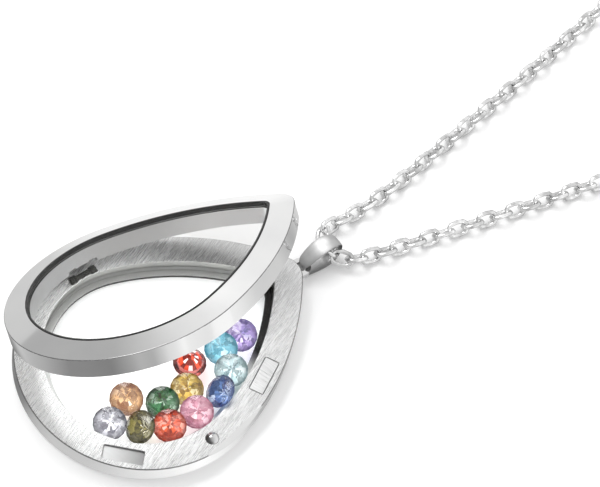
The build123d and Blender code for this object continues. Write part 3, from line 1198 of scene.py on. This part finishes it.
@dataclass(frozen=True)
class WindowSeal:
    """Thin dark line of cement that shows all round the lid's window, between the glass and the steel."""

    round_radius: float = 12.18
    tip_y: float = 18.27
    width: float = 0.21
    height: float = 0.03
    glass_top: float = 5.655
    steps: tuple[int, int, int] = (48, 40, 10)

    def angles(self) -> Span:
        """Directions in which the round end meets the side arc, and the side arc the tip."""
        x, y = SIDE_CENTRE
        return math.atan2(-y, -x), math.atan2(self.tip_y - y, -x)

    def build(self, lid: Lid, finishes: Finishes) -> None:
        """Spin a small section round the window's four arcs and turn it to the open lid.

        Args:
            lid: The lid that it belongs to.
            finishes: The shared finishes.
        """
        first, last = self.angles()
        x, y = SIDE_CENTRE
        deselect()
        start = metres(self.round_radius - self.width / 2, 0.0, self.glass_top + self.height / 2)
        bpy.ops.mesh.primitive_plane_add(size=MM, location=start, rotation=(math.radians(90.0), 0.0, 0.0))
        piece = bpy.context.object
        piece.name = "window_seal"
        bpy.ops.object.transform_apply(location=True, rotation=True, scale=True)
        bpy.ops.object.mode_set(mode="EDIT")
        bpy.ops.mesh.select_all(action="SELECT")
        bpy.ops.transform.resize(value=(self.width, 1.0, self.height), center_override=start)
        bpy.ops.mesh.delete(type="ONLY_FACE")
        bpy.ops.mesh.select_all(action="SELECT")
        bpy.ops.transform.rotate(value=-first, orient_axis="Z", center_override=ORIGIN)
        turns = (
            ((x, y), last - first, self.steps[1]),
            ((0.0, self.tip_y), math.pi - 2 * last, self.steps[2]),
            ((-x, y), last - first, self.steps[1]),
            ((0.0, 0.0), math.pi + 2 * first, self.steps[0]),
        )
        for (centre_x, centre_y), angle, steps in turns:
            bpy.ops.mesh.spin(steps=steps, angle=-angle, center=metres(centre_x, centre_y, 0.0),
                              axis=(0.0, 0.0, 1.0))
        bpy.ops.mesh.select_all(action="SELECT")
        bpy.ops.transform.rotate(value=math.radians(lid.opening), orient_axis="Y",
                                 center_override=metres(*lid.hinge))
        bpy.ops.object.mode_set(mode="OBJECT")
        close_and_face_out(piece)
        smooth(piece, angle=40.0)
        piece.data.materials.append(finishes.cement)
        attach(piece, Body.LID.value)
        log.info("window seal: %d faces", len(piece.data.polygons))


@dataclass(frozen=True)
class Gem:
    """One loose stone: its node's last name, its colours, and the way its table faces."""

    name: str
    colour: Colour
    # Colour of the stone's painted shade.
    painted_shade: Colour
    lean: float = 41.0
    facing: float = -50.0
    index: float = 1.6


@dataclass(frozen=True)
class LooseStones:
    """The twelve birthstone brilliants in the case."""

    # Each stone: its name, its own colour and the colour of its painted shade.
    gems: tuple[Gem, ...] = (
        Gem("purple", (0.52, 0.41, 0.70), (0.08, 0.05, 0.17)),
        Gem("aqua", (0.30, 0.62, 0.72), (0.04, 0.20, 0.26)),
        Gem("mint", (0.64, 0.77, 0.78), (0.13, 0.19, 0.20)),
        Gem("blue", (0.12, 0.23, 0.47), (0.02, 0.04, 0.11), facing=-118.0),
        Gem("red", (0.80, 0.05, 0.012), (0.09, 0.004, 0.002), lean=180.0, facing=0.0),
        Gem("yellow", (0.70, 0.55, 0.12), (0.16, 0.09, 0.01)),
        Gem("champagne", (0.80, 0.56, 0.31), (0.17, 0.07, 0.035)),
        Gem("green", (0.03, 0.21, 0.06), (0.005, 0.028, 0.009)),
        Gem("pink", (0.78, 0.44, 0.54), (0.24, 0.08, 0.13)),
        Gem("clear", (0.92, 0.92, 0.97), (0.08, 0.08, 0.10)),
        Gem("olive", (0.26, 0.23, 0.05), (0.028, 0.024, 0.009), facing=-104.0),
        Gem("orange", (0.86, 0.15, 0.035), (0.16, 0.008, 0.003)),
    )
    glow: float = 0.55

    def dress(self, frame: dict) -> None:
        """Give each stone its own coloured glass.

        Args:
            frame: The loaded frame.
        """
        for gem in self.gems:
            node = frame["nodes"]["stone_" + gem.name]
            glow = tuple(self.glow + (1.0 - self.glow) * value for value in gem.colour)
            # Each glass carries painted facet shade, glints and glow.
            glass = GemGlass("gem_" + gem.name + "_finish", gem.colour, glow, gem.index,
                             middle=tuple(middle_of(node)), lean=gem.lean, facing=gem.facing, painted_shade=gem.painted_shade)
            dress(frame, node.name, glass.make())
        log.info("%d stones dressed", len(self.gems))


@dataclass(frozen=True)
class Bail:
    """Loop of domed band between the case's eye and the chain, drawn in where it passes the eye.

    Each station is the middle of the band's section on the loop, along the case and up, with half the
    band's width and the dome's height, from the far end over the top to the eye and back underneath.
    """

    bar: Span = (24.125, 1.25)
    core: Place = (0.0, 26.0, 1.9)
    roll: float = 8.0
    section_points: int = 20
    inside_share: float = 0.3
    smoothness: int = 2
    stations: tuple[tuple[float, float, float, float], ...] = (
        (28.93, 2.10, 0.66, 0.24), (28.76, 2.80, 0.84, 0.28), (28.26, 3.38, 0.98, 0.32),
        (27.50, 3.66, 1.08, 0.36), (26.60, 3.62, 1.16, 0.38), (25.75, 3.36, 1.18, 0.38),
        (24.98, 2.94, 1.12, 0.36), (24.32, 2.48, 1.04, 0.34), (23.74, 2.08, 0.94, 0.28),
        (23.38, 1.60, 0.52, 0.18), (23.36, 0.96, 0.52, 0.18), (23.50, 0.56, 0.90, 0.20),
        (24.00, 0.36, 0.98, 0.22), (24.85, 0.30, 1.04, 0.22), (25.80, 0.30, 1.08, 0.22),
        (26.75, 0.34, 1.08, 0.22), (27.62, 0.50, 1.00, 0.22), (28.38, 0.92, 0.84, 0.22),
        (28.82, 1.48, 0.70, 0.22),
    )

    def lean(self, index: int) -> float:
        """Find the band's outward direction at a station.

        Args:
            index: The station.

        Returns:
            Its angle from +Y in the YZ plane.
        """
        before = self.stations[index - 1]
        after = self.stations[(index + 1) % len(self.stations)]
        return math.atan2(after[1] - before[1], after[0] - before[0]) - math.pi / 2

    def inside(self, middle: Vector, normal: Vector) -> bool:
        """Whether a face looks into the loop."""
        return (middle - Vector(self.core)).dot(normal) < 0.0

    def draw_section(self) -> bpy.types.Object:
        """Draw the section at the first station: a flattened circle, flatter inside the loop.

        Returns:
            The piece, in edit mode with its section selected.
        """
        y, z, half, dome = self.stations[0]
        middle = metres(0.0, y, z)
        bpy.ops.mesh.primitive_circle_add(vertices=self.section_points, radius=MM, fill_type="NOTHING",
                                          location=middle)
        piece = bpy.context.object
        piece.name = "bail_band"
        bpy.ops.object.transform_apply(location=True, rotation=True, scale=True)
        for point in piece.data.vertices:
            point.select = point.co.y < middle.y - MM / self.section_points
        bpy.ops.object.mode_set(mode="EDIT")
        bpy.ops.mesh.select_mode(type="VERT")
        bpy.ops.transform.resize(value=(1.0, self.inside_share, 1.0), center_override=middle)
        bpy.ops.mesh.select_all(action="SELECT")
        bpy.ops.transform.resize(value=(half, dome, 1.0), center_override=middle)
        bpy.ops.transform.rotate(value=-self.lean(0), orient_axis="X", center_override=middle)
        return piece

    def build(self, finishes: Finishes) -> None:
        """Extrude the section round the loop, close it and put it in the CAD bail's place.

        Args:
            finishes: The shared finishes.
        """
        deselect()
        piece = self.draw_section()
        for index in range(1, len(self.stations)):
            y, z, half, dome = self.stations[index]
            before_y, before_z, before_half, before_dome = self.stations[index - 1]
            step = metres(0.0, y - before_y, z - before_z)
            middle = metres(0.0, y, z)
            swing = math.remainder(self.lean(index) - self.lean(index - 1), 2 * math.pi)
            share = dome / before_dome
            bpy.ops.mesh.extrude_region_move(TRANSFORM_OT_translate={"value": step})
            bpy.ops.transform.rotate(value=-swing, orient_axis="X", center_override=middle)
            bpy.ops.transform.resize(value=(half / before_half, share, share), center_override=middle)
        bpy.ops.mesh.select_all(action="DESELECT")
        bpy.ops.mesh.select_non_manifold()
        bpy.ops.mesh.bridge_edge_loops()
        bpy.ops.mesh.select_all(action="SELECT")
        pivot = metres(0.0, *self.bar)
        bpy.ops.transform.rotate(value=math.radians(self.roll), orient_axis="Y", center_override=pivot)
        bpy.ops.transform.rotate(value=-math.radians(BAIL_TURN), orient_axis="Z", center_override=pivot)
        bpy.ops.object.mode_set(mode="OBJECT")
        close_and_face_out(piece)
        apply_modifier(piece, "SUBSURF", levels=self.smoothness)
        smooth(piece, angle=60.0)
        # Faces that look into the loop take the painted shade.
        paint_faces(piece, [(finishes.bail_inside_painted_shade, self.inside), (finishes.bail, everywhere)])
        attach(piece, Body.CASE.value)
        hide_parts("bail")
        low = min(point.co.z for point in piece.data.vertices) / MM
        log.info("bail band: %d faces, lowest %.2f mm", len(piece.data.polygons), low)


@dataclass(frozen=True)
class HingeBar:
    """Dark barrel on the flange inside the hinge, ridged, with a thick collar and a rounded end.

    Each station is a place along the barrel with its radius there.
    """

    x: float = -12.2
    z: float = 2.55
    sides: int = 28
    collars: Steps = (
        (-1.85, 0.30), (-1.80, 0.44), (-1.70, 0.49), (-1.40, 0.49), (-1.34, 0.38), (-1.26, 0.38),
        (-1.20, 0.48), (-1.02, 0.48), (-0.95, 0.32), (-0.72, 0.34))
    round_end: Steps = (
        (0.74, 0.31), (0.95, 0.33), (1.05, 0.46), (1.30, 0.49), (1.55, 0.47), (1.72, 0.38), (1.82, 0.22))
    ridges: int = 5
    ridge_start: float = -0.66
    ridge_length: float = 0.22
    ridge_pitch: float = 0.28
    groove_radius: float = 0.30
    ridge_radius: float = 0.34

    def stations(self) -> list[tuple[float, float]]:
        """List the barrel's stations, with the ridges between its collars and its round end.

        Returns:
            The stations from the near end on.
        """
        ridged = []
        for ridge in range(self.ridges):
            start = self.ridge_start + ridge * self.ridge_pitch
            ridged += [(start, self.groove_radius), (start + self.ridge_length, self.ridge_radius)]
        return [*self.collars, *ridged, *self.round_end]

    def build(self, finishes: Finishes) -> None:
        """Draw the barrel out of a circle, ring by ring.

        Args:
            finishes: The shared finishes.
        """
        deselect()
        stations = self.stations()
        before_y, before_radius = stations[0]
        bpy.ops.mesh.primitive_circle_add(vertices=self.sides, radius=before_radius * MM, fill_type="NGON",
                                          location=metres(self.x, before_y, self.z),
                                          rotation=(math.radians(90.0), 0.0, 0.0))
        piece = bpy.context.object
        piece.name = "ridged_bar"
        bpy.ops.object.transform_apply(location=True, rotation=True, scale=True)
        bpy.ops.object.mode_set(mode="EDIT")
        bpy.ops.mesh.select_all(action="SELECT")
        for y, radius in stations[1:]:
            step = metres(0.0, y - before_y, 0.0)
            share = radius / before_radius
            bpy.ops.mesh.extrude_region_move(TRANSFORM_OT_translate={"value": step})
            bpy.ops.transform.resize(value=(share, 1.0, share), center_override=metres(self.x, y, self.z))
            before_y, before_radius = y, radius
        bpy.ops.object.mode_set(mode="OBJECT")
        close_and_face_out(piece)
        smooth(piece, angle=40.0)
        piece.data.materials.append(finishes.dark)
        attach(piece, Body.CASE.value)
        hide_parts("hinge_bar")
        log.info("ridged bar: %d faces", len(piece.data.polygons))


@dataclass(frozen=True)
class NeckChain:
    """Cable chain of oval links that lie on their two lower edges, turned each way in turn."""

    link_length: float = 3.09
    link_width: float = 2.2
    wire: float = 0.56
    segments: int = 12
    wire_sides: int = 6
    lean: float = 45.0
    floor_gap: float = 0.04
    sway: float = 5.0
    sway_rates: Span = (1.7, 0.61)
    sway_start: float = 1.0
    line_points: int = 24
    line_order: int = 3
    route: tuple[Place, ...] = (
        (4.7, 228.3, 0.0), (19.5, 225.3, 0.0), (31.5, 214.5, 0.0), (38.6, 197.0, 0.0), (39.6, 175.0, 0.0),
        (35.2, 150.5, 0.0), (28.2, 127.0, 0.0), (20.6, 104.5, 0.0), (14.6, 83.5, 0.0), (10.05, 64.5, 0.0),
        (7.08, 50.0, 0.0), (5.04, 40.5, 0.0), (3.58, 33.9, 0.0), (2.8, 30.6, 0.25), (2.2, 28.6, 0.7),
        (1.1, 27.55, 0.93), (-1.5, 27.55, 0.93), (-2.7, 28.7, 0.7), (-2.85, 30.8, 0.25), (-2.72, 34.4, 0.0),
        (-3.45, 41.0, 0.0), (-5.4, 52.0, 0.0), (-7.9, 66.5, 0.0), (-12.0, 86.0, 0.0), (-17.6, 106.0, 0.0),
        (-24.6, 127.5, 0.0), (-32.0, 150.5, 0.0), (-37.6, 173.5, 0.0), (-38.4, 196.0, 0.0),
        (-31.8, 214.0, 0.0), (-19.5, 225.0, 0.0), (-4.7, 228.3, 0.0),
    )

    def strand_height(self) -> float:
        """Height of the chain's middle line over the table."""
        reach = (self.link_width - self.wire) / 2 * math.sin(math.radians(self.lean))
        return reach + self.wire / 2 + self.floor_gap

    def pitch(self) -> float:
        """Distance from one link's middle to the next."""
        return self.link_length - 2 * self.wire

    def line(self) -> list[Vector]:
        """Draw the chain's middle line through its route.

        Returns:
            Points close together along it, in millimetres.
        """
        data = bpy.data.curves.new("chain_line", "CURVE")
        data.dimensions = "3D"
        data.resolution_u = self.line_points
        spline = data.splines.new("NURBS")
        spline.points.add(len(self.route) - 1)
        for point, (x, y, rise) in zip(spline.points, self.route):
            point.co = (x, y, self.strand_height() + rise, 1.0)
        spline.order_u = self.line_order
        spline.use_endpoint_u = True
        guide = bpy.data.objects.new("chain_line", data)
        bpy.context.scene.collection.objects.link(guide)
        bpy.context.view_layer.update()
        mesh = bpy.data.meshes.new_from_object(guide)
        points = [point.co.copy() for point in mesh.vertices]
        bpy.data.objects.remove(guide)
        bpy.data.meshes.remove(mesh)
        return points

    def model_link(self) -> bpy.types.Object:
        """Model one link from a ring, by moving its two ends apart.

        Returns:
            The link, long in X and flat in XY, with its middle at the origin.
        """
        deselect()
        bpy.ops.mesh.primitive_torus_add(major_radius=(self.link_width - self.wire) / 2 * MM,
                                         minor_radius=self.wire / 2 * MM, major_segments=self.segments,
                                         minor_segments=self.wire_sides, location=ORIGIN)
        link = bpy.context.object
        stretch = (self.link_length - self.link_width) / 2 * MM
        middle_zone = self.wire / 4 * MM
        for side in (-1.0, 1.0):
            bpy.ops.object.mode_set(mode="EDIT")
            bpy.ops.mesh.select_mode(type="VERT")
            bpy.ops.mesh.select_all(action="DESELECT")
            bpy.ops.object.mode_set(mode="OBJECT")
            for point in link.data.vertices:
                point.select = side * point.co.x > middle_zone
            bpy.ops.object.mode_set(mode="EDIT")
            bpy.ops.transform.translate(value=(side * stretch, 0.0, 0.0))
            bpy.ops.object.mode_set(mode="OBJECT")
        return link

    def first_link(self, points: Sequence[Vector], walked: Sequence[float]) -> float:
        """Find where the row of links starts, so that one link lies in the bail.

        Args:
            points: The middle line's points.
            walked: How far along the line each point is.

        Returns:
            The first link's distance along the line.
        """
        nearest = min(range(len(points)), key=lambda index: points[index].y)
        first = walked[nearest] % self.pitch()
        return first if first >= self.link_length / 2 else first + self.pitch()

    def places(self) -> list[Matrix]:
        """Place the links along the middle line.

        Returns:
            Each link's place and turn, in metres.
        """
        points = self.line()
        walked = [0.0]
        for before, after in zip(points, points[1:]):
            walked.append(walked[-1] + (after - before).length)
        fast, slow = self.sway_rates
        places = []
        index = 0
        distance = self.first_link(points, walked)
        while distance < walked[-1] - self.link_length / 2:
            while walked[index + 1] < distance:
                index += 1
            part = (distance - walked[index]) / (walked[index + 1] - walked[index])
            middle = points[index].lerp(points[index + 1], part)
            along = (points[index + 1] - points[index]).normalized()
            side = Vector((0.0, 0.0, 1.0)).cross(along).normalized()
            axes = Matrix((along, side, along.cross(side))).transposed().to_4x4()
            count = len(places)
            wave = self.sway * (math.sin(count * fast) + math.sin(count * slow + self.sway_start)) / 2
            lean = math.radians(self.lean * (1 if count % 2 else -1) + wave)
            places.append(Matrix.Translation(middle * MM) @ axes @ Matrix.Rotation(lean, 4, "X"))
            distance += self.pitch()
        return places

    def build(self, finishes: Finishes) -> None:
        """Copy the link along the line and join the copies.

        Args:
            finishes: The shared finishes.
        """
        link = self.model_link()
        places = self.places()
        copies = []
        for place in places:
            copy = link.copy()
            copy.data = link.data.copy()
            copy.data.transform(place)
            bpy.context.scene.collection.objects.link(copy)
            copies.append(copy)
        bpy.data.objects.remove(link)
        deselect()
        for copy in copies:
            copy.select_set(True)
        chain = copies[0]
        bpy.context.view_layer.objects.active = chain
        bpy.ops.object.join()
        chain.name = "chain_links"
        smooth(chain, angle=80.0)
        chain.data.materials.append(finishes.links)
        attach(chain, Body.CASE.value)
        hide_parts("chain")
        log.info("chain: %d links, %d faces", len(places), len(chain.data.polygons))


def plain(corners: Iterable[Iterable[float]]) -> list[list[float]]:
    """Corners of a box as plain lists of numbers."""
    return [[float(value) for value in corner] for corner in corners]


def main() -> None:
    """Build the scene in order."""
    logging.basicConfig(level=logging.INFO, format="%(name)s: %(message)s")
    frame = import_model()
    cad_box = plain(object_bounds())
    View().place()
    Studio().place()
    finishes = Finishes()
    Case().dress(frame, finishes)
    Lid().dress(frame, finishes)
    WindowSeal().build(Lid(), finishes)
    LooseStones().dress(frame)
    dress(frame, "clasp", finishes.polished)
    Bail().build(finishes)
    HingeBar().build(finishes)
    NeckChain().build(finishes)
    {"cad": cad_box, "visual": plain(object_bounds())}


if __name__ == "__main__":
    main()
